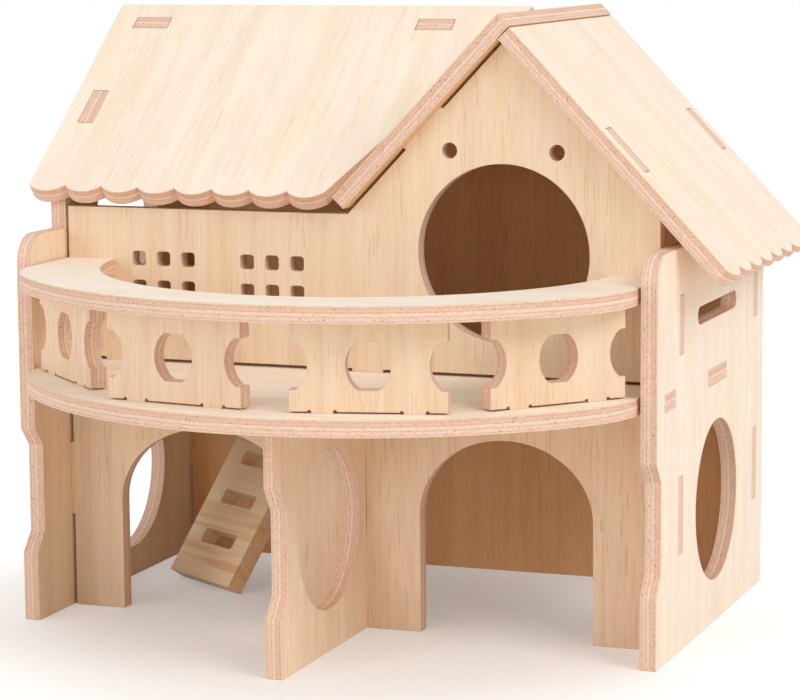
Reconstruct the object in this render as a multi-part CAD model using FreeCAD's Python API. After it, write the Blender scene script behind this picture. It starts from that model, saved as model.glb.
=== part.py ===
import FreeCAD, Part
import os
from math import atan, cos, degrees, hypot, radians, sin, sqrt, tan
from FreeCAD import Matrix, Placement, Rotation, Vector

# Wooden hamster house, cut from flat plywood boards that slot together. Millimetres.
# +X is the right-hand side seen from the front, +Y runs to the back, +Z is up.
# X 0 is the middle of the house, Y 0 the middle of the front walls' thickness, Z 0 the ground.
# The depths below are counted from the front face of the front walls.

# Board and fits
board = 6.0                  # thickness of every plywood board
fit_gap = 0.15               # play on each side of a tab in its slot
lift_gap = 0.3               # play on each side of a tab under a board that lifts off
shoulder_gap = 1.2           # dark gap between a board's shoulder and the board it is tabbed to

# House body
house_width = 246.0          # over the outer faces of the side panels
panel_front_y = -29.0        # front edge of the side panels
panel_back_y = 125.0         # back edge of the side panels
room_depth = 109.0           # from the front wall's front face to the back wall's front face
floor_top = 96.0             # top of the upper floor
panel_top = 145.5            # top of the low parts of the side panels
panel_top_radius = 11.0      # rounded top front corner of the side panels

# Recess in the front edges of the side panels and of the balcony support
recess_depth = 6.0
foot_height = 26.0           # straight foot of a side panel
foot_slope_top = 33.0        # where its slope reaches the recess
recess_top = 66.0
recess_slope_top = 73.0
recess_corner_radius = 2.0

# Balcony support, a board that stands across the front wall under the balcony
support_x = 1.0              # middle of its thickness
support_front_y = -82.0
support_foot_height = 20.5
support_foot_slope_top = 28.5
support_recess_top = 58.0
support_recess_slope_top = 67.0
support_hole_y = -36.5
support_hole_z = 44.6
support_hole_radius = 29.3
support_floor_tab_y = -42.0
support_floor_tab_length = 24.0
blind_depth = 3.0            # depth of the tabs that end inside a board

# Openings in the side panels
side_hole_y = 54.0
right_hole_z = 46.0
left_hole_z = 42.0
side_hole_radius = 30.2
left_window_z = 144.0        # round window of the upper storey, left panel only
left_window_radius = 27.5
handle_slot_y = 53.5         # long slot of the upper storey, right panel only
handle_slot_z = 118.0
handle_slot_length = 56.5
handle_slot_height = 6.6
handle_slot_radius = 3.2     # of its rounded ends

# Lower front wall
left_arch_from_side = 63.5   # middle of the arch, from the outer face of the side panel
left_arch_half_width = 36.0
left_arch_top = 71.2
right_arch_from_side = 64.7
right_arch_half_width = 33.1
right_arch_top = 73.3
arch_rise = 28.8             # height of the elliptic part of both arches

# Upper front wall
upper_wall_top = 154.0       # flat top left of the gable
gable_from_side = 65.5       # middle of gable and round door, from the right side panel's outer face
gable_peak_z = 218.5         # where the undersides of the gable roof boards meet
gable_slope = 46.4           # degrees
door_z = 141.2
door_radius = 32.4
peephole_radius = 2.9
peephole_z = 178.0
peephole_spacing = 40.4
pane = 5.5                   # side of one small square window
pane_radius = 1.3
pane_pitch_x = 10.0
pane_pitch_z = 10.9
pane_columns = 3
pane_rows = 2
pane_group_from_side = [46.5, 90.5]    # from the left side panel's outer face
pane_group_z = 129.6

# Balcony
balcony_depth = 107.0        # from the front wall to the front of the floor
balcony_arc_end = 36.0       # where the front arc, carried on, would meet the side panels
balcony_corner_radius = 45.0 # rounds the arc into the front edges of the side panels
rail_overhang = 2.4          # of the rail past the floor
rail_top = 134.5
rail_width = 23.8            # at the front
rail_end_width = 20.0        # at the front wall, to the side panel's inner face

# Balusters, placed by the middle of their front faces, from the inner face of the side
# panel or the middle of the house and from the front of the floor. A turn is in degrees
# away from facing the front. They don't stand quite evenly along the balcony.
left_outer_from_side = 24.7
left_outer_from_front = 55.5
left_outer_turn = 44.0
left_inner_from_middle = 31.8
left_inner_from_front = 17.5
left_inner_turn = 8.5
right_inner_from_middle = 39.0
right_inner_from_front = 19.5
right_inner_turn = 13.5
right_outer_from_side = 22.8
right_outer_from_front = 56.8
right_outer_turn = 49.5
baluster_width = 54.0
baluster_hole_width = 15.4
baluster_hole_height = 18.6  # of the full oval
baluster_hole_flat = 16.6    # height at which the oval is cut off flat
baluster_bite_offset = 1.45  # middle of the same oval outside each side of the board
baluster_foot_gap = 0.6      # between the floor and the board's foot, beside its tabs
baluster_tab_width = 7.4
baluster_tab_spacing = 31.4
tab_relief_radius = 0.7      # round reliefs beside the balusters' lower tabs

# Opening in the upper floor for the ladder, open to the back wall
stair_from_side = 37.0       # from the left side panel's outer face
stair_width = 60.0
stair_front_y = 55.0
stair_corner_radius = 5.0

# Main roof, with a long front slope and a short back slope at a right angle to it
roof_left_overhang = 7.0     # past the left side panel
roof_eave_y = -4.0           # front eave line on the upper surface
roof_eave_z = 162.2
roof_ridge_y = 80.6          # top end of the front board on its upper surface
roof_ridge_z = 227.2
roof_ridge_from_gable = 14.7 # right end of both boards at the ridge, from the middle of the gable
roof_side_gap = 0.8          # from both boards to the gable roof, at their eaves
ridge_step = 8.2             # front board's end past the back board's upper surface
back_slope_length = 82.0
ridge_tab_from_left = 17.0   # middles of the back board's tabs, from the ends of the ridge
ridge_tab_from_right = 36.5
ridge_tab_length = 14.5
side_tab_from_ridge = 61.8   # left panel's tab through the front board
side_tab_length = 18.5
back_tab_from_ridge = 38.0   # left panel's tab through the back board
back_tab_length = 16.0
lobes = 8                    # round lobes along each scalloped eave
lobe_depth = 3.2

# Gable roof
gable_overhang = 6.2         # in front of the front wall and behind the back wall
gable_left_length = 92.0     # of the upper surface, from the ridge down
gable_right_length = 116.0
gable_left_tab = 44.6        # middle of the walls' tabs, along the slope from the peak
gable_right_tab = 59.6
gable_tab_length = 20.5

# Tabs of walls and floor
lower_tab_z = 49.5           # middle of the lower walls' tabs in the side panels
lower_tab_height = 28.0
upper_tab_z = 118.0
upper_tab_height = 21.0
floor_front_tab_y = -12.0
floor_front_tab_length = 14.0
floor_rear_tab_y = 54.0
floor_rear_tab_length = 26.5
wall_tab_width = 12.0        # tabs between walls and floor
upper_wall_side_tab = 28.0   # middles of the upper wall's outer tabs, from the side panels
upper_wall_middle_tab = 4.0  # middle of its third tab, to the right of the balcony support
lower_wall_side_tab = 13.5
lower_wall_middle_tabs = [-15.0, 19.0]
floor_back_tabs_from_left = [19.0]
floor_back_tabs_from_right = [103.0, 43.0]

# Ladder, loose, leaning on the back wall
ladder_foot_from_side = 25.5 # lower left corner of its foot, on the ground
ladder_turn = -33.1          # degrees that its foot is turned from the X axis
ladder_incline = 56.5        # degrees above the ground
ladder_width = 42.0
ladder_thickness = 7.0
ladder_length = 110.0
ladder_play = 0.4            # between its top end and the back wall
rung_slot_length = 22.0
rung_slot_width = 6.0
rung_slot_radius = 1.5
rung_first = 17.4            # middle of the first slot above the foot
rung_pitch = 17.5
rung_count = 5

# Values that follow from the sizes above
outer_x = house_width / 2
inner_x = outer_x - board
wall_half = inner_x - shoulder_gap
left_arch_x = -outer_x + left_arch_from_side
right_arch_x = outer_x - right_arch_from_side
gable_x = outer_x - gable_from_side
stair_left_x = -outer_x + stair_from_side
stair_right_x = stair_left_x + stair_width
upper_wall_tab_x = [-outer_x + upper_wall_side_tab, outer_x - upper_wall_side_tab]
upper_wall_tab_x.append(support_x + upper_wall_middle_tab)
lower_wall_tab_x = [-outer_x + lower_wall_side_tab, outer_x - lower_wall_side_tab]
lower_wall_tab_x += [support_x + offset for offset in lower_wall_middle_tabs]
floor_back_tab_x = [-outer_x + offset for offset in floor_back_tabs_from_left]
floor_back_tab_x += [outer_x - offset for offset in floor_back_tabs_from_right]
floor_bottom = floor_top - board
rail_bottom = rail_top - board
back_wall_y = room_depth
roof_angle = degrees(atan((roof_ridge_z - roof_eave_z) / (roof_ridge_y - roof_eave_y)))
roof_length = hypot(roof_ridge_y - roof_eave_y, roof_ridge_z - roof_eave_z)
roof_left_x = -outer_x - roof_left_overhang
roof_right_ridge_x = gable_x - roof_ridge_from_gable
ridge_tab_x = [roof_left_x + ridge_tab_from_left, roof_right_ridge_x - ridge_tab_from_right]


def arc_radius(half_chord, rise):
    return (half_chord ** 2 + rise ** 2) / (2 * rise)


floor_radius = arc_radius(inner_x, balcony_depth - balcony_arc_end)
rail_radius = floor_radius + rail_overhang
balcony_centre_y = floor_radius - balcony_depth
rail_inner_rise = balcony_depth + rail_overhang - rail_width
rail_inner_radius = arc_radius(inner_x - rail_end_width, rail_inner_rise)
rail_inner_centre_y = rail_inner_radius - rail_inner_rise
balusters = {
    "left_outer": (left_outer_from_side - inner_x, left_outer_from_front - balcony_depth, -left_outer_turn),
    "left_inner": (-left_inner_from_middle, left_inner_from_front - balcony_depth, -left_inner_turn),
    "right_inner": (right_inner_from_middle, right_inner_from_front - balcony_depth, right_inner_turn),
    "right_outer": (inner_x - right_outer_from_side, right_outer_from_front - balcony_depth, right_outer_turn),
}


# Shapes

def path(points):
    """Closed flat face from corner points (a, b) or (a, b, corner radius)."""
    corners = [(Vector(p[0], p[1], 0), p[2] if len(p) > 2 else 0) for p in points]
    edges = []
    first = last = None
    for i, (corner, radius) in enumerate(corners):
        before = corners[i - 1][0]
        after = corners[(i + 1) % len(corners)][0]
        start = end = corner
        arc = None
        if radius > 0:
            to_before = (before - corner).normalize()
            to_after = (after - corner).normalize()
            half = to_before.getAngle(to_after) / 2
            start = corner + to_before * (radius / tan(half))
            end = corner + to_after * (radius / tan(half))
            bisector = (to_before + to_after).normalize()
            middle = corner + bisector * (radius / sin(half) - radius)
            arc = Part.Arc(start, middle, end).toShape()
        if last is not None and last.distanceToPoint(start) > 1e-7:
            edges.append(Part.LineSegment(last, start).toShape())
        if arc is not None:
            edges.append(arc)
        if first is None:
            first = start
        last = end
    if last.distanceToPoint(first) > 1e-7:
        edges.append(Part.LineSegment(last, first).toShape())
    return Part.Face(Part.Wire(edges))


def slab(face, thickness=board):
    return face.extrude(Vector(0, 0, thickness))


def block(a0, a1, b0, b1, c0=-board, c1=2 * board):
    """Box between two corners, by default deep enough to cut through a board."""
    return Part.makeBox(a1 - a0, b1 - b0, c1 - c0, Vector(a0, b0, c0))


def round_hole(a, b, radius):
    return Part.makeCylinder(radius, 3 * board, Vector(a, b, -board))


def tab(middle, width, low, high):
    """Tab in the plane of an upright or level board."""
    return block(middle - width / 2, middle + width / 2, low, high, 0, board)


def rounded_hole(a, b, width, height, radius):
    w, h = width / 2, height / 2
    corners = [(a - w, b - h), (a + w, b - h), (a + w, b + h), (a - w, b + h)]
    face = path([corner + (radius,) for corner in corners])
    face.translate(Vector(0, 0, -board))
    return slab(face, 3 * board)


def oval_hole(a, b, half_width, half_height):
    centre = Vector(a, b, -board)
    ends = [centre + Vector(half_width, 0, 0), centre + Vector(0, half_height, 0)]
    ends.sort(key=centre.distanceToPoint, reverse=True)
    edge = Part.Ellipse(ends[0], ends[1], centre).toShape()
    face = Part.Face(Part.Wire([edge]))
    return face.extrude(Vector(0, 0, 3 * board))


def arch_hole(middle, half_width, top):
    """Doorway with straight sides and a half oval on top, open to the ground."""
    spring = top - arch_rise
    sides = block(middle - half_width, middle + half_width, -board, spring)
    return oval_hole(middle, spring, half_width, arch_rise).fuse(sides)


def cut(shape, tools):
    return shape.cut(Part.Compound(list(tools))) if tools else shape


def join(shape, tools):
    return shape.fuse(list(tools)).removeSplitter() if tools else shape


def frame(origin, along, up):
    """Placement that puts local X on along, local Y on up and the thickness on their normal."""
    out = along.cross(up)
    m = Matrix(along.x, up.x, out.x, origin.x, along.y, up.y, out.y, origin.y, along.z, up.z, out.z, origin.z)
    return Placement(m)


X, Y, Z = Vector(1, 0, 0), Vector(0, 1, 0), Vector(0, 0, 1)


def upright_side(shape, x):
    """Stand a board drawn in (Y, Z) with its left face at x."""
    return shape.transformed(frame(Vector(x, 0, 0), Y, Z).toMatrix())


def upright_wall(shape, y):
    """Stand a board drawn in (X, Z) with its front face at y."""
    return shape.transformed(frame(Vector(0, y + board, 0), X, Z).toMatrix())


def level(shape, z):
    """Lay a board drawn in (X, Y) with its lower face at z."""
    return shape.transformed(frame(Vector(0, 0, z), X, Y).toMatrix())


# Roof planes. Each roof board is drawn in (along the eave, up the slope) with its upper surface at
# local height 0 and its thickness below, and its slope is measured down from its top end.

a = radians(roof_angle)
front_up = Vector(0, cos(a), sin(a))
back_up = Vector(0, -sin(a), cos(a))
ridge_point = Vector(0, roof_ridge_y, roof_ridge_z)
front_frame = frame(ridge_point, X, front_up)
back_start = ridge_point - front_up * ridge_step - back_up * board
back_frame = frame(back_start, X * -1, back_up)

g = radians(gable_slope)
left_up = Vector(cos(g), 0, sin(g))
right_up = Vector(-cos(g), 0, sin(g))
left_out = Vector(-sin(g), 0, cos(g))
right_out = Vector(sin(g), 0, cos(g))
peak = Vector(gable_x, 0, gable_peak_z)
meet = board / sin(2 * g)
left_underside_end = peak + left_up * meet
left_top_end = left_underside_end + left_out * board - left_up * (board / tan(2 * g))
left_frame = frame(left_top_end, Y * -1, left_up)
right_frame = frame(left_underside_end, Y, right_up)


def under_front_slope(y):
    """Height of the underside of the front roof board at y."""
    return roof_ridge_z + (y - roof_ridge_y) * tan(a) - board / cos(a)


def under_back_slope(y):
    """Height of the underside of the back roof board at y."""
    under = back_start - back_frame.Rotation.multVec(Z) * board
    return under.z - (y - under.y) / tan(a)


def beside_gable(z):
    """X on the upper surface of the left gable board at height z."""
    return left_top_end.x - (left_top_end.z - z) / tan(g)


def scalloped(left_bottom, right_bottom, left_top, right_top, bottom, top):
    """Roof board outline, drawn from its lower left corner, with round lobes along its lower edge."""
    pitch = (right_bottom - left_bottom) / lobes
    edges = []
    for i in range(lobes):
        start = Vector(left_bottom + i * pitch, bottom, 0)
        end = Vector(left_bottom + (i + 1) * pitch, bottom, 0)
        middle = (start + end) / 2 - Vector(0, lobe_depth, 0)
        edges.append(Part.Arc(start, middle, end).toShape())
    corners = [Vector(right_bottom, bottom, 0), Vector(right_top, top, 0)]
    corners += [Vector(left_top, top, 0), Vector(left_bottom, bottom, 0)]
    for start, end in zip(corners, corners[1:]):
        edges.append(Part.LineSegment(start, end).toShape())
    face = Part.Face(Part.Wire(edges))
    face.translate(Vector(0, 0, -board))
    return slab(face)


# Pieces

def recess_points(front, *heights):
    """The recess in a board's front edge, from the top of its foot up."""
    depths = (front, front + recess_depth, front + recess_depth, front)
    return [(depth, height, recess_corner_radius) for depth, height in zip(depths, heights)]


def panel_profile(roof_points):
    points = [(panel_front_y, 0)]
    points += recess_points(panel_front_y, foot_height, foot_slope_top, recess_top, recess_slope_top)
    points.append((panel_front_y, panel_top, panel_top_radius))
    return slab(path(points + roof_points + [(panel_back_y, 0)]))


def panel_slots():
    """Slots of both side panels, for the walls and for the upper floor."""
    tools = []
    for y in (0, back_wall_y):
        for middle, height in ((lower_tab_z, lower_tab_height), (upper_tab_z, upper_tab_height)):
            half = height / 2 + fit_gap
            tools.append(block(y - fit_gap, y + board + fit_gap, middle - half, middle + half))
    for middle, length in floor_side_tabs():
        half = length / 2 + fit_gap
        tools.append(block(middle - half, middle + half, floor_bottom - fit_gap, floor_top + fit_gap))
    return tools


def floor_side_tabs():
    return ((floor_front_tab_y, floor_front_tab_length), (floor_rear_tab_y, floor_rear_tab_length))


def roof_tab(place, from_ridge, length, x):
    """Tab of the left side panel, square to a roof board and flush with its upper surface."""
    side = 1 if place is front_frame else -1
    low, high = sorted((side * x, side * (x + board)))
    square_tab = block(low, high, -from_ridge - length / 2, -from_ridge + length / 2, -2 * board, 0)
    return square_tab.transformed(place.toMatrix())


def left_side_panel():
    apex_y = back_start.y
    for _ in range(40):
        apex_y += (under_back_slope(apex_y) - under_front_slope(apex_y)) * sin(a) * cos(a)
    drop = lift_gap / cos(a)
    roof_line = [(0, panel_top), (0, under_front_slope(0) - drop)]
    roof_line += [(apex_y, under_front_slope(apex_y) - drop)]
    roof_line += [(panel_back_y, under_back_slope(panel_back_y))]
    shape = panel_profile(roof_line)
    holes = [round_hole(side_hole_y, left_hole_z, side_hole_radius)]
    holes.append(round_hole(side_hole_y, left_window_z, left_window_radius))
    shape = upright_side(cut(shape, panel_slots() + holes), -outer_x)
    front_tab = roof_tab(front_frame, side_tab_from_ridge, side_tab_length, -outer_x)
    back_tab = roof_tab(back_frame, back_tab_from_ridge, back_tab_length, -outer_x)
    return join(shape, [front_tab, back_tab])


def right_side_panel():
    shape = panel_profile([(panel_back_y, panel_top)])
    holes = [round_hole(side_hole_y, right_hole_z, side_hole_radius)]
    slot_size = (handle_slot_length, handle_slot_height, handle_slot_radius)
    holes.append(rounded_hole(handle_slot_y, handle_slot_z, *slot_size))
    return upright_side(cut(shape, panel_slots() + holes), inner_x)


def support_wall_tab(gap):
    half = board / 2 + gap
    low, high = lower_tab_z - lower_tab_height / 2 - gap, lower_tab_z + lower_tab_height / 2 + gap
    return block(support_x - half, support_x + half, low, high, -gap, board + gap)


def balcony_support():
    front = support_front_y
    heights = (support_foot_height, support_foot_slope_top, support_recess_top, support_recess_slope_top)
    points = [(front, 0)] + recess_points(front, *heights)
    points += [(front, floor_bottom), (0, floor_bottom), (0, 0)]
    half_z = lower_tab_height / 2
    half_y = support_floor_tab_length / 2
    y = support_floor_tab_y
    tabs = [block(-board, board, lower_tab_z - half_z, lower_tab_z + half_z, 0, board)]
    tabs.append(block(y - half_y, y + half_y, floor_bottom - board, floor_bottom + blind_depth, 0, board))
    shape = join(slab(path(points)), tabs)
    hole = round_hole(support_hole_y, support_hole_z, support_hole_radius)
    return upright_side(cut(shape, [hole]), support_x - board / 2)


def wall_side_tabs(middle, height):
    low, high = middle - height / 2, middle + height / 2
    ends = ((-outer_x, -wall_half + board), (wall_half - board, outer_x))
    return [block(start, end, low, high, 0, board) for start, end in ends]


def lower_front_wall():
    shape = block(-wall_half, wall_half, 0, floor_bottom, 0, board)
    tabs = wall_side_tabs(lower_tab_z, lower_tab_height)
    for x in lower_wall_tab_x:
        tabs.append(tab(x, wall_tab_width, floor_bottom - board, floor_top))
    tools = [arch_hole(left_arch_x, left_arch_half_width, left_arch_top)]
    tools.append(arch_hole(right_arch_x, right_arch_half_width, right_arch_top))
    tools.append(support_wall_tab(fit_gap))
    return upright_wall(cut(join(shape, tabs), tools), 0)


def gable_tabs():
    """Tabs of a gable wall, square to the two gable roof boards, flush with their upper surfaces."""
    tabs = []
    for place, from_peak in ((left_frame, gable_left_tab), (right_frame, gable_right_tab)):
        top_end = (place.Base - peak).dot(place.Rotation.multVec(Y))
        middle = -(from_peak + top_end)
        side = -1 if place is left_frame else 1
        low, high = sorted((0, side * board))
        half = gable_tab_length / 2
        square_tab = block(low, high, middle - half, middle + half, -3 * board, 0)
        tabs.append(square_tab.transformed(place.toMatrix()))
    return tabs


def gable_wall(bottom, y):
    """Wall with a flat top on the left and the gable on the right."""
    drop = shoulder_gap / cos(g)
    peak_z = gable_peak_z - drop
    left_foot = gable_x - (peak_z - upper_wall_top) / tan(g)
    right_edge_z = peak_z - (wall_half - gable_x) * tan(g)
    points = [(-wall_half, bottom), (wall_half, bottom), (wall_half, right_edge_z), (gable_x, peak_z)]
    shape = slab(path(points + [(left_foot, upper_wall_top), (-wall_half, upper_wall_top)]))
    shape = join(shape, wall_side_tabs(upper_tab_z, upper_tab_height))
    shape = upright_wall(shape, y)
    tabs = gable_tabs()
    for square_tab in tabs:
        square_tab.translate(Vector(0, y, 0))
    return join(shape, tabs)


def upper_front_wall():
    shape = gable_wall(floor_top + shoulder_gap, 0)
    tabs = []
    for x in upper_wall_tab_x:
        tabs.append(tab(x, wall_tab_width, floor_bottom, floor_top + board))
    tools = [round_hole(gable_x, door_z, door_radius)]
    for side in (-1, 1):
        tools.append(round_hole(gable_x + side * peephole_spacing / 2, peephole_z, peephole_radius))
    for from_side in pane_group_from_side:
        for column in range(pane_columns):
            x = from_side - outer_x + (column - (pane_columns - 1) / 2) * pane_pitch_x
            for row in range(pane_rows):
                z = pane_group_z + (row - (pane_rows - 1) / 2) * pane_pitch_z
                tools.append(rounded_hole(x, z, pane, pane, pane_radius))
    shape = join(shape, [upright_wall(floor_tab, 0) for floor_tab in tabs])
    return cut(shape, [upright_wall(tool, 0) for tool in tools])


def back_wall():
    shape = gable_wall(0, back_wall_y)
    tabs = wall_side_tabs(lower_tab_z, lower_tab_height)
    shape = join(shape, [upright_wall(side_tab, back_wall_y) for side_tab in tabs])
    tools = []
    for x in floor_back_tab_x:
        half = wall_tab_width / 2 + fit_gap
        tools.append(block(x - half, x + half, floor_bottom - fit_gap, floor_top + fit_gap))
    return cut(shape, [upright_wall(tool, back_wall_y) for tool in tools])


def at_baluster(shape, spot):
    """Place a board, drawn in (along its face, up from the floor), as the baluster at a spot."""
    x, y, degrees_turned = spot
    turn = radians(degrees_turned)
    outward = Vector(sin(turn), -cos(turn), 0)
    along = Vector(cos(turn), sin(turn), 0)
    return shape.transformed(frame(Vector(x, y, floor_top) - outward * board, along, Z).toMatrix())


def baluster_tabs(gap, low, high):
    tabs = []
    for side in (-1, 1):
        middle = side * baluster_tab_spacing / 2
        half = baluster_tab_width / 2 + gap
        tabs.append(block(middle - half, middle + half, low, high, -gap, board + gap))
    return tabs


def baluster(spot):
    half = baluster_width / 2
    height = rail_bottom - floor_top
    shape = block(-half, half, baluster_foot_gap, height, 0, board)
    shape = join(shape, baluster_tabs(0, -board, height + blind_depth))
    low, high = (height - baluster_hole_flat) / 2, (height + baluster_hole_flat) / 2
    tools = []
    for middle in (-half - baluster_bite_offset, 0, half + baluster_bite_offset):
        oval = oval_hole(middle, height / 2, baluster_hole_width / 2, baluster_hole_height / 2)
        tools.append(oval.common(block(middle - half, middle + half, low, high, -board, 2 * board)))
    for side in (-1, 1):
        for edge in (-1, 1):
            beside = baluster_tab_width / 2 + tab_relief_radius
            middle = side * baluster_tab_spacing / 2 + edge * beside
            tools.append(round_hole(middle, baluster_foot_gap, tab_relief_radius))
    return at_baluster(cut(shape, tools), spot)


def balcony_board(radius, back):
    """Level board with the balcony's curved front, between the side panels."""
    front, widest = balcony_centre_y - radius, min(balcony_centre_y, back)
    curve = Part.makeCylinder(radius, board, Vector(0, balcony_centre_y, 0))
    shape = block(-wall_half, wall_half, front - board, widest, 0, board).common(curve)
    if back > widest:
        shape = join(shape, [block(-wall_half, wall_half, widest, back, 0, board)])
    corners = []
    for edge in shape.Edges:
        middle = edge.CenterOfMass
        upright = abs(middle.z - board / 2) < 1e-6
        if upright and abs(abs(middle.x) - wall_half) < 1e-6 and middle.y < -1e-6:
            corners.append(edge)
    return shape.makeFillet(balcony_corner_radius, corners)


def balcony_floor():
    back = back_wall_y - shoulder_gap
    shape = balcony_board(floor_radius, back)
    tabs = []
    for middle, length in floor_side_tabs():
        tabs.append(block(-outer_x, -wall_half + board, middle - length / 2, middle + length / 2, 0, board))
        tabs.append(block(wall_half - board, outer_x, middle - length / 2, middle + length / 2, 0, board))
    for x in floor_back_tab_x:
        tabs.append(tab(x, wall_tab_width, back - board, back_wall_y + board))
    stair_front = [(x, stair_front_y, stair_corner_radius) for x in (stair_left_x, stair_right_x)]
    stair = path(stair_front + [(stair_right_x, back_wall_y), (stair_left_x, back_wall_y)])
    stair.translate(Vector(0, 0, -board))
    tools = [slab(stair, 3 * board)]
    half = wall_tab_width / 2 + fit_gap
    for x in upper_wall_tab_x + lower_wall_tab_x:
        tools.append(block(x - half, x + half, -fit_gap, board + fit_gap))
    half_x, half_y = board / 2 + fit_gap, support_floor_tab_length / 2 + fit_gap
    low_x, high_x = support_x - half_x, support_x + half_x
    y = support_floor_tab_y
    tools.append(block(low_x, high_x, y - half_y, y + half_y, -board, blind_depth + fit_gap))
    shape = level(cut(join(shape, tabs), tools), floor_bottom)
    slots = []
    for spot in balusters.values():
        slots += [at_baluster(slot, spot) for slot in baluster_tabs(fit_gap, -2 * board, board)]
    return cut(shape, slots)


def balcony_rail():
    inner = round_hole(0, rail_inner_centre_y, rail_inner_radius)
    shape = level(balcony_board(rail_radius, 0).cut(inner), rail_bottom)
    height = rail_bottom - floor_top
    sockets = []
    for spot in balusters.values():
        for socket in baluster_tabs(fit_gap, height - board, height + blind_depth + fit_gap):
            sockets.append(at_baluster(socket, spot))
    return cut(shape, sockets)


def main_roof_front_board():
    right_eave_x = beside_gable(roof_eave_z - board * cos(a)) - roof_side_gap
    shape = scalloped(roof_left_x, right_eave_x, roof_left_x, roof_right_ridge_x, -roof_length, 0)
    tools = []
    middle = -(ridge_step + board / 2)
    for x in ridge_tab_x:
        half = ridge_tab_length / 2 + lift_gap
        tools.append(block(x - half, x + half, middle - board / 2 - lift_gap, middle + board / 2 + lift_gap))
    half = side_tab_length / 2 + lift_gap
    low, high = -side_tab_from_ridge - half, -side_tab_from_ridge + half
    tools.append(block(-outer_x - lift_gap, -outer_x + board + lift_gap, low, high))
    return cut(shape, tools).transformed(front_frame.toMatrix())


def main_roof_back_board():
    under_eave = back_frame.multVec(Vector(0, -back_slope_length, -board))
    right_eave_x = beside_gable(under_eave.z) - roof_side_gap
    bottom, top = -back_slope_length, -lift_gap
    shape = scalloped(-right_eave_x, -roof_left_x, -roof_right_ridge_x, -roof_left_x, bottom, top)
    tabs = []
    for x in ridge_tab_x:
        tabs.append(block(-x - ridge_tab_length / 2, -x + ridge_tab_length / 2, -board, board, -board, 0))
    half = back_tab_length / 2 + fit_gap
    low, high = -back_tab_from_ridge - half, -back_tab_from_ridge + half
    tools = [block(outer_x - board - fit_gap, outer_x + fit_gap, low, high)]
    return cut(join(shape, tabs), tools).transformed(back_frame.toMatrix())


def gable_ends():
    return -gable_overhang, back_wall_y + board + gable_overhang


def gable_slots(place, from_peak, gap):
    top_end = (place.Base - peak).dot(place.Rotation.multVec(Y))
    middle = -(from_peak + top_end)
    side = -1 if place is left_frame else 1
    tools = []
    for y in (0, back_wall_y):
        low, high = sorted((side * y, side * (y + board)))
        half = gable_tab_length / 2 + gap
        tools.append(block(low - gap, high + gap, middle - half, middle + half, -2 * board, board))
    return tools


def gable_roof_left_board():
    front, back = gable_ends()
    shape = block(-back, -front, -gable_left_length, 0, -board, 0)
    return cut(shape, gable_slots(left_frame, gable_left_tab, fit_gap)).transformed(left_frame.toMatrix())


def gable_roof_right_board():
    front, back = gable_ends()
    top = -lift_gap / sin(2 * g) - max(0, -board / tan(2 * g))
    shape = scalloped(front, back, front, back, -gable_right_length, top)
    return cut(shape, gable_slots(right_frame, gable_right_tab, lift_gap)).transformed(right_frame.toMatrix())


def ladder():
    turn, incline = radians(ladder_turn), radians(ladder_incline)
    along = Vector(cos(turn), sin(turn), 0)
    up = Vector(-sin(turn) * cos(incline), cos(turn) * cos(incline), sin(incline))
    shape = block(0, ladder_width, 0, ladder_length, 0, ladder_thickness)
    tools = []
    for i in range(rung_count):
        middle = rung_first + i * rung_pitch
        slot = rounded_hole(ladder_width / 2, middle, rung_slot_length, rung_slot_width, rung_slot_radius)
        tools.append(slot)
    reach = ladder_length * cos(turn) * cos(incline)
    foot = Vector(-outer_x + ladder_foot_from_side, back_wall_y - ladder_play - reach, 0)
    return cut(shape, tools).transformed(frame(foot, along, up).toMatrix())


pieces = {
    "left_side_panel": left_side_panel(),
    "right_side_panel": right_side_panel(),
    "balcony_support": balcony_support(),
    "lower_front_wall": lower_front_wall(),
    "upper_front_wall": upper_front_wall(),
    "back_wall": back_wall(),
    "balcony_floor": balcony_floor(),
    "balcony_rail": balcony_rail(),
    "main_roof_front_board": main_roof_front_board(),
    "main_roof_back_board": main_roof_back_board(),
    "gable_roof_left_board": gable_roof_left_board(),
    "gable_roof_right_board": gable_roof_right_board(),
    "ladder": ladder(),
}
for place_name, spot in balusters.items():
    pieces["baluster_" + place_name] = baluster(spot)

os.makedirs("parts", exist_ok=True)
for name, shape in pieces.items():
    solid = shape.Solids[0] if len(shape.Solids) == 1 else shape
    solid.translate(Vector(0, -board / 2, 0))
    solid.exportStep("parts/" + name + ".step")
    box = solid.BoundBox
    print(name, len(shape.Solids), shape.isValid(), round(shape.Volume), [round(v, 1) for v in (
        box.XMin, box.XMax, box.YMin, box.YMax, box.ZMin, box.ZMax)])
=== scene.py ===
import math

import bpy
from mathutils import Euler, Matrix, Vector

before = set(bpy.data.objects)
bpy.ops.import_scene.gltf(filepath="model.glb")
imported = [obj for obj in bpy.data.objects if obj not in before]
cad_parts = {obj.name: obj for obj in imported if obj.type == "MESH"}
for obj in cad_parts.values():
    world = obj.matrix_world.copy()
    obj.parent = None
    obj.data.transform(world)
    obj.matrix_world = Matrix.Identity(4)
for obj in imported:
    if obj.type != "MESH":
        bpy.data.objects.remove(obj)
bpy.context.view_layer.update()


def srgb(red, green, blue):
    """Linear colour from the usual 0 to 255 values."""
    channels = []
    for value in (red / 255, green / 255, blue / 255):
        dark = value <= 0.04045
        channels.append(value / 12.92 if dark else ((value + 0.055) / 1.055) ** 2.4)
    return (*channels, 1.0)


def grey(value):
    return (value, value, value, 1.0)


# Directions of the boards, as in part.py

X, Y, Z = Vector((1, 0, 0)), Vector((0, 1, 0)), Vector((0, 0, 1))
roof_angle = math.radians(37.54)
gable_slope = math.radians(46.4)
ladder_turn = math.radians(-33.1)
ladder_incline = math.radians(56.5)

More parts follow.
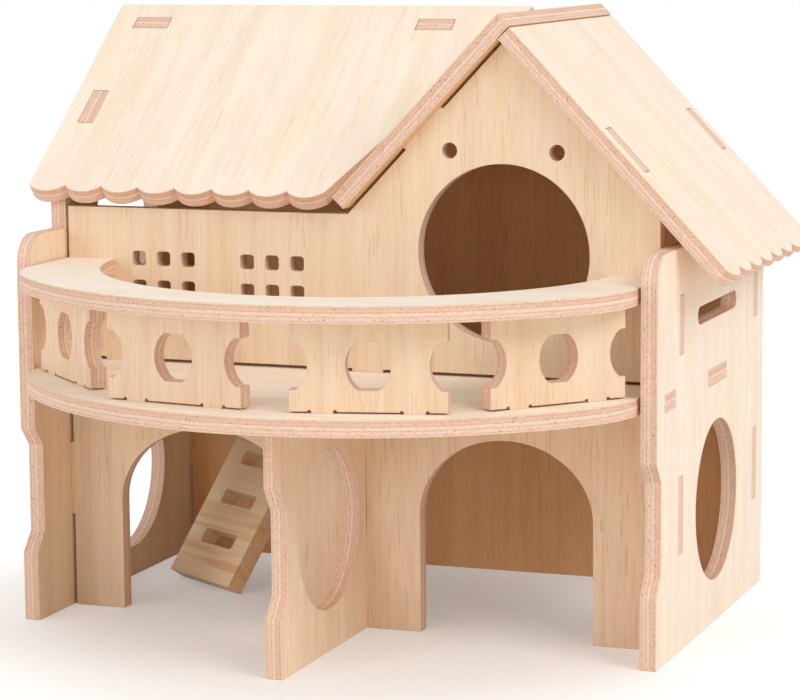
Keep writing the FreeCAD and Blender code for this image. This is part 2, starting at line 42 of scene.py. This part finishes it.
front_slope = Vector((0, math.cos(roof_angle), math.sin(roof_angle)))
front_out = Vector((0, -math.sin(roof_angle), math.cos(roof_angle)))
left_slope = Vector((math.cos(gable_slope), 0, math.sin(gable_slope)))
left_out = Vector((-math.sin(gable_slope), 0, math.cos(gable_slope)))
right_slope = Vector((-math.cos(gable_slope), 0, math.sin(gable_slope)))
right_out = Vector((math.sin(gable_slope), 0, math.cos(gable_slope)))

ladder_along = Vector((math.cos(ladder_turn), math.sin(ladder_turn), 0))
ladder_up = Vector((
    -math.sin(ladder_turn) * math.cos(ladder_incline),
    math.cos(ladder_turn) * math.cos(ladder_incline),
    math.sin(ladder_incline),
))


def baluster_front(degrees):
    """Direction out of a baluster's front face, turned from the house's front."""
    turn = math.radians(degrees)
    return Vector((math.sin(turn), -math.cos(turn), 0))


# Wood colours: light, middle and dark tone of each set

# painted light: the first set is a paler copy of the same wood for the lamp-lit roof and right
# side panel
lit_pale = [srgb(253, 241, 226), srgb(248, 231, 211), srgb(236, 209, 178)]
white = [srgb(255, 247, 236), srgb(251, 238, 223), srgb(238, 214, 186)]
cream = [srgb(250, 229, 203), srgb(243, 217, 187), srgb(224, 189, 150)]
tan = [srgb(246, 222, 196), srgb(238, 209, 180), srgb(216, 180, 145)]
brown = [srgb(255, 236, 204), srgb(255, 225, 188), srgb(240, 196, 148)]
inner_painted_shade = srgb(252, 224, 190)  # painted shade: a warm darkening multiplied onto the faces that look into the house

# Boards: the direction out of each board's face, the direction of its face grain, its
# colours, and which face looks into the house and gets painted shade (1 or -1 along the first
# direction, or 0)

boards = {
    "left_side_panel": (X, Z, cream, 0),
    # painted light: the right side panel takes the paler lit copy of the left panel's cream wood
    "right_side_panel": (X, Z, lit_pale, -1),
    "balcony_support": (X, Z, cream, 0),
    "lower_front_wall": (Y, Z, tan, 1),
    "upper_front_wall": (Y, Z, cream, 1),
    "back_wall": (Y, Z, cream, -1),
    "balcony_floor": (Z, X, white, -1),
    "balcony_rail": (Z, X, white, 0),
    "baluster_left_outer": (baluster_front(-44), Z, tan, 0),
    "baluster_left_inner": (baluster_front(-8.5), Z, tan, 0),
    "baluster_right_inner": (baluster_front(13.5), Z, tan, 0),
    "baluster_right_outer": (baluster_front(49.5), Z, tan, 0),
    "main_roof_front_board": (front_out, front_slope, lit_pale, -1),
    "main_roof_back_board": (front_slope, front_out, lit_pale, -1),
    "gable_roof_left_board": (left_out, left_slope, lit_pale, -1),
    "gable_roof_right_board": (right_out, right_slope, lit_pale, -1),
    "ladder": (ladder_along.cross(ladder_up), ladder_along, brown, 0),
}

face_limit = 0.93  # cosine to the board's direction above which a surface is a face
end_limit = 0.7  # cosine to the grain above which a cut edge shows end grain
edge_radius = 0.0004  # shaded rounding of the edges, in metres
specular_level = 0.3
pattern_step = 2.37  # shift of the wood pattern from one board to the next


# Shader helpers

def add(tree, kind, inputs=None, **settings):
    """A new node; an input is a value or the socket that feeds it."""
    item = tree.nodes.new(kind)
    for key, value in settings.items():
        setattr(item, key, value)
    for key, value in (inputs or {}).items():
        if isinstance(value, bpy.types.NodeSocket):
            tree.links.new(value, item.inputs[key])
        else:
            item.inputs[key].default_value = value
    return item


def calc(tree, operation, first, second=0.0):
    return add(tree, "ShaderNodeMath", {0: first, 1: second}, operation=operation).outputs[0]


def dot(tree, vector, direction):
    inputs = {0: vector, 1: tuple(direction)}
    item = add(tree, "ShaderNodeVectorMath", inputs, operation="DOT_PRODUCT")
    return item.outputs["Value"]


def noise(tree, vector, detail=3.0, roughness=0.5, distortion=0.0):
    inputs = {
        "Vector": vector,
        "Scale": 1.0,
        "Detail": detail,
        "Roughness": roughness,
        "Distortion": distortion,
    }
    return add(tree, "ShaderNodeTexNoise", inputs).outputs["Fac"]


def stretched(tree, local, along, across, depth, shift=0.0):
    """Board coordinates (along the grain, across it, through the board), scaled per metre."""
    inputs = {
        "Vector": local,
        "Location": (shift, shift * 0.7, shift * 1.3),
        "Scale": (along, across, depth),
    }
    return add(tree, "ShaderNodeMapping", inputs).outputs[0]


def ramp(tree, factor, stops, interpolation="LINEAR"):
    item = add(tree, "ShaderNodeValToRGB", {"Fac": factor})
    item.color_ramp.interpolation = interpolation
    elements = item.color_ramp.elements
    while len(elements) < len(stops):
        elements.new(1.0)
    for element, (position, colour) in zip(elements, stops):
        element.position = position
        element.color = colour
    return item.outputs[0]


def blend(tree, factor, first, second, kind="MIX"):
    item = add(tree, "ShaderNodeMix", data_type="RGBA", blend_type=kind, clamp_factor=True)
    sockets = (item.inputs[0], item.inputs[6], item.inputs[7])  # factor, A and B as colours
    for socket, value in zip(sockets, (factor, first, second)):
        if isinstance(value, bpy.types.NodeSocket):
            tree.links.new(value, socket)
        else:
            socket.default_value = value
    return item.outputs[2]


def tint(tree, mask, share, colour, other):
    """Colour that goes over to another one by a share of a mask."""
    return blend(tree, calc(tree, "MULTIPLY", mask, share), colour, other)


# Where a point of a board lies, and which of its surfaces it is on

def board_coordinates(tree, normal, grain, low):
    """Local vector of a board and its depth axis, from the object's own coordinates."""
    position = add(tree, "ShaderNodeTexCoord").outputs["Object"]
    along = dot(tree, position, grain)
    across = dot(tree, position, normal.cross(grain))
    depth = calc(tree, "SUBTRACT", dot(tree, position, normal), low)
    local = add(tree, "ShaderNodeCombineXYZ", {"X": along, "Y": across, "Z": depth})
    return local.outputs[0], depth


def surface_along(tree, direction):
    return dot(tree, add(tree, "ShaderNodeNewGeometry").outputs["Normal"], direction)


def face_share(tree, normal):
    """1 on the two faces of a board, 0 on its edges."""
    along = calc(tree, "ABSOLUTE", surface_along(tree, normal))
    return calc(tree, "GREATER_THAN", along, face_limit)


def painted_shade_share(tree, normal, side):
    """1 on the face that looks into the house, which gets painted shade."""
    return calc(tree, "GREATER_THAN", surface_along(tree, side * normal), face_limit)


def end_share(tree, grain):
    """1 where a surface is cut square across the grain, 0 where it runs along it."""
    along = calc(tree, "ABSOLUTE", surface_along(tree, grain))
    return calc(tree, "GREATER_THAN", along, end_limit)


# Wood

def veneer(tree, local, colours, shift):
    """Sanded face veneer: tone bands, pinkish and yellowish patches, streaks, flecks."""
    light, middle, dark = colours
    bands = noise(tree, stretched(tree, local, 5, 60, 20, shift), 3.0, 0.55, 0.4)
    colour = ramp(tree, bands, [(0.3, middle), (0.52, light), (0.75, middle)])

    pinkish, plain, yellowish = (0.99, 0.955, 0.965, 1.0), grey(1.0), (1.0, 0.975, 0.91, 1.0)
    patches = noise(tree, stretched(tree, local, 16, 48, 20, shift + 5), 2.0, 0.5, 0.6)
    hue = ramp(tree, patches, [(0.36, pinkish), (0.5, plain), (0.64, yellowish)])
    colour = blend(tree, 1.0, colour, hue, "MULTIPLY")

    growth = noise(tree, stretched(tree, local, 9, 330, 60, shift + 3), 4.0, 0.6, 0.3)
    lines = ramp(tree, growth, [(0.36, grey(1)), (0.47, grey(0.15)), (0.62, grey(0))])
    colour = tint(tree, lines, 0.24, colour, dark)

    streaks = noise(tree, stretched(tree, local, 30, 1500, 300, shift + 7), 4.0, 0.65)
    fine = ramp(tree, streaks, [(0.3, grey(1)), (0.5, grey(0.3)), (0.72, grey(0))])
    colour = tint(tree, fine, 0.26, colour, dark)

    specks = noise(tree, stretched(tree, local, 75, 1250, 300, shift + 11), 2.0)
    specks = ramp(tree, specks, [(0.34, grey(1)), (0.44, grey(0))])
    clusters = noise(tree, stretched(tree, local, 20, 110, 40, shift + 13), 2.0)
    clusters = ramp(tree, clusters, [(0.42, grey(0.1)), (0.6, grey(1))])
    flecks = calc(tree, "MULTIPLY", specks, clusters)
    return tint(tree, flecks, 0.6, colour, dark), streaks


def plies(tree, local, depth, thickness, end_grain):
    """Cut edge of the plywood: five layers, glue lines, pores in the layers cut across."""
    outer, pink, core = srgb(243, 214, 189), srgb(240, 208, 188), srgb(245, 219, 198)
    warm, glue, pore = srgb(235, 197, 174), srgb(206, 160, 134), srgb(120, 78, 60)
    clear = grey(1.0)

    wobble = noise(tree, stretched(tree, local, 60, 60, 40, 2.0), 2.0)
    wobble = calc(tree, "MULTIPLY", calc(tree, "SUBTRACT", wobble, 0.5), 0.05)
    layer = calc(tree, "ADD", calc(tree, "DIVIDE", depth, thickness), wobble)
    colour = ramp(tree, layer, [
        (0.0, outer), (0.10, outer), (0.125, glue),
        (0.15, pink), (0.36, pink), (0.385, glue),
        (0.41, core), (0.60, core), (0.625, glue),
        (0.65, warm), (0.86, warm), (0.89, glue), (0.915, outer),
    ])

    # The grain turns from layer to layer, so every second one shows its ends
    turned = [(0.0, grey(0)), (0.13, grey(1)), (0.385, grey(0)), (0.625, grey(1)), (0.89, grey(0))]
    cross = ramp(tree, layer, turned, "CONSTANT")
    shows_ends = calc(tree, "ABSOLUTE", calc(tree, "SUBTRACT", cross, end_grain))

    speck = noise(tree, stretched(tree, local, 1500, 1500, 1500, 5.0), 3.0, 0.7)
    mottle = [(0.33, srgb(205, 160, 140)), (0.5, clear), (0.7, srgb(255, 244, 238))]
    ends = blend(tree, 0.55, colour, ramp(tree, speck, mottle), "MULTIPLY")

    places = stretched(tree, local, 420, 420, 900, 1.0)
    cell = add(tree, "ShaderNodeTexVoronoi", {"Vector": places, "Scale": 1.0})
    hole = ramp(tree, cell.outputs["Distance"], [(0.10, grey(1)), (0.2, grey(0))])
    sparse = noise(tree, stretched(tree, local, 260, 260, 600, 9.0), 1.0)
    sparse = ramp(tree, sparse, [(0.50, grey(0)), (0.57, grey(1))])
    hole = calc(tree, "MULTIPLY", hole, sparse)
    ends = tint(tree, hole, 0.9, ends, pore)

    thread = noise(tree, stretched(tree, local, 900, 60, 2600, 4.0), 3.0, 0.6)
    fibre = ramp(tree, thread, [(0.3, srgb(222, 186, 168)), (0.6, clear)])
    sides = blend(tree, 0.6, colour, fibre, "MULTIPLY")
    return blend(tree, shows_ends, sides, ends), speck, hole


def new_material(name):
    material = bpy.data.materials.new(name)
    material.use_nodes = True
    return material, material.node_tree


def finish_material(tree, colour, height, roughness, bump_strength):
    eased = add(tree, "ShaderNodeBevel", {"Radius": edge_radius}, samples=6).outputs[0]
    inputs = {"Strength": bump_strength, "Distance": 0.0002, "Height": height, "Normal": eased}
    bump = add(tree, "ShaderNodeBump", inputs)
    shader = tree.nodes["Principled BSDF"]
    tree.links.new(colour, shader.inputs["Base Color"])
    tree.links.new(roughness, shader.inputs["Roughness"])
    tree.links.new(bump.outputs[0], shader.inputs["Normal"])
    shader.inputs["Specular IOR Level"].default_value = specular_level


def board_material(name, normal, grain, colours, side, low, thickness, shift):
    """Plywood: veneer on the two faces, plies on the edges, painted shade on the face that looks
    into the house.
    """
    material, tree = new_material(name)
    local, depth = board_coordinates(tree, normal, grain, low)
    face, streaks = veneer(tree, local, colours, shift)
    if side:
        # painted shade: the face that looks into the house is darkened and warmed
        painted_shade_face = blend(tree, 1.0, face, inner_painted_shade, "MULTIPLY")
        face = blend(tree, painted_shade_share(tree, normal, side), face, painted_shade_face)
    edge, speck, hole = plies(tree, local, depth, thickness, end_share(tree, grain))
    on_face = face_share(tree, normal)
    colour = blend(tree, on_face, edge, face)
    edge_height = calc(tree, "SUBTRACT", calc(tree, "MULTIPLY", speck, 0.5), hole)
    height = blend(tree, on_face, edge_height, calc(tree, "MULTIPLY", streaks, 0.5))
    roughness = calc(tree, "ADD", calc(tree, "MULTIPLY", streaks, 0.2), 0.5)
    finish_material(tree, colour, height, roughness, 0.35)
    return material


def solid_wood_material(name, normal, grain, colours, low, shift):
    """Solid tan wood with broad stripes along its grain and darker cut ends."""
    material, tree = new_material(name)
    local, _ = board_coordinates(tree, normal, grain, low)
    light, middle, dark = colours
    rings = noise(tree, stretched(tree, local, 9, 150, 60, shift), 2.0, 0.5, 0.3)
    stripes = [(0.38, dark), (0.46, middle), (0.55, light), (0.64, middle), (0.72, dark)]
    colour = ramp(tree, rings, stripes)
    streaks = noise(tree, stretched(tree, local, 30, 1100, 900, shift + 2), 4.0, 0.6)
    fine = ramp(tree, streaks, [(0.32, grey(1)), (0.6, grey(0))])
    colour = tint(tree, fine, 0.22, colour, dark)
    colour = tint(tree, end_share(tree, grain), 0.45, colour, dark)
    roughness = calc(tree, "ADD", calc(tree, "MULTIPLY", streaks, 0.2), 0.48)
    finish_material(tree, colour, streaks, roughness, 0.3)
    return material


# Every node keeps its CAD shape and gets its own wood

for number, (name, (normal, grain, colours, side)) in enumerate(boards.items(), 1):
    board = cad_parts[name]
    depths = [normal.dot(vertex.co) for vertex in board.data.vertices]
    low, thickness = min(depths), max(depths) - min(depths)
    wood, shift = name + "_wood", pattern_step * number
    if name == "ladder":
        material = solid_wood_material(wood, normal, grain, colours, low, shift)
    else:
        material = board_material(wood, normal, grain, colours, side, low, thickness, shift)
    board.data.materials.clear()
    board.data.materials.append(material)


# Floor: grey near the house (painted shade) and white further off for the camera, plain for the
# light

floor_half = 4.0
floor_drop = 0.0001  # keeps the floor just clear of the boards' lower edges
glow_from, glow_to = 0.07, 0.27  # distance from the house's middle, in metres
glow_in_painted_shade, glow_far = 0.24, 0.72  # what the floor adds there for the camera; the lower glow near the house is painted shade


def camera_rays(tree):
    """1 for what the camera sees straight, in a reflection or through a pane."""
    path = add(tree, "ShaderNodeLightPath")
    seen = calc(tree, "MAXIMUM", path.outputs["Is Camera Ray"], path.outputs["Is Glossy Ray"])
    return calc(tree, "MAXIMUM", seen, path.outputs["Is Transmission Ray"])


floor_mesh = bpy.data.meshes.new("studio_floor")
corners = [(x * floor_half, y * floor_half, 0) for x, y in ((-1, -1), (1, -1), (1, 1), (-1, 1))]
floor_mesh.from_pydata(corners, [], [(0, 1, 2, 3)])
floor = bpy.data.objects.new("studio_floor", floor_mesh)
bpy.context.scene.collection.objects.link(floor)
floor.location.z = -floor_drop
floor_material, tree = new_material("studio_floor")
tree.nodes.clear()
seen = camera_rays(tree)
floor_colour = blend(tree, seen, (0.92, 0.90, 0.88, 1.0), (0.72, 0.715, 0.71, 1.0))
lit = add(tree, "ShaderNodeBsdfDiffuse", {"Color": floor_colour})
place = add(tree, "ShaderNodeTexCoord").outputs["Object"]
away = add(tree, "ShaderNodeVectorMath", {0: place}, operation="LENGTH").outputs["Value"]
inputs = {"Value": away, 1: glow_from, 2: glow_to, 3: glow_in_painted_shade, 4: glow_far}
# painted shade: the floor glows less near the house, so it looks grey there
glow = add(tree, "ShaderNodeMapRange", inputs, interpolation_type="SMOOTHSTEP").outputs[0]
glow = calc(tree, "MULTIPLY", seen, glow)
glow = add(tree, "ShaderNodeEmission", {"Color": grey(1.0), "Strength": glow})
both = add(tree, "ShaderNodeAddShader", {0: lit.outputs[0], 1: glow.outputs[0]})
add(tree, "ShaderNodeOutputMaterial", {"Surface": both.outputs[0]})
floor_mesh.materials.append(floor_material)


# World: white where the camera sees it, softer as light

world = bpy.data.worlds.new("studio")
world.use_nodes = True
bpy.context.scene.world = world
tree = world.node_tree
tree.nodes.clear()
seen = camera_rays(tree)
soft = add(tree, "ShaderNodeBackground", {"Color": (1.0, 0.985, 0.97, 1.0), "Strength": 0.68})
backdrop = add(tree, "ShaderNodeBackground", {"Color": grey(1.0), "Strength": 1.0})
mixed = add(tree, "ShaderNodeMixShader", {0: seen, 1: soft.outputs[0], 2: backdrop.outputs[0]})
add(tree, "ShaderNodeOutputWorld", {"Surface": mixed.outputs[0]})


# Lamps

lamp_colour = (1.0, 0.98, 0.95)
lamp_target = Vector((0, 0, 0.1))


def lamp(name, place, size, power):
    data = bpy.data.lights.new(name, "AREA")
    data.shape = "DISK"
    data.size = size
    data.energy = power
    data.color = lamp_colour
    item = bpy.data.objects.new(name, data)
    bpy.context.scene.collection.objects.link(item)
    item.location = place
    direction = lamp_target - Vector(place)
    item.rotation_euler = direction.to_track_quat("-Z", "Y").to_euler()


lamp("key", (1.8, -0.9, 1.7), 1.4, 24)
lamp("fill", (-1.3, -2.0, 0.8), 1.6, 10.5)


# Camera, at the photograph's place

camera_place = (0.39425, -1.01022, 0.26077)
camera_tip = math.radians(90 - 8.255)
camera_turn = math.radians(20.494)
camera_roll = math.radians(-0.407)

camera_data = bpy.data.cameras.new("camera")
camera_data.sensor_fit = "HORIZONTAL"
camera_data.sensor_width = 36.0
camera_data.lens = 133.95
camera_data.clip_start = 0.01
camera = bpy.data.objects.new("camera", camera_data)
bpy.context.scene.collection.objects.link(camera)
camera.location = camera_place
camera.rotation_euler = Euler((camera_tip, 0, camera_turn))
camera.rotation_euler.rotate_axis("Z", camera_roll)
bpy.context.scene.camera = camera
bpy.context.scene.view_settings.view_transform = "Standard"
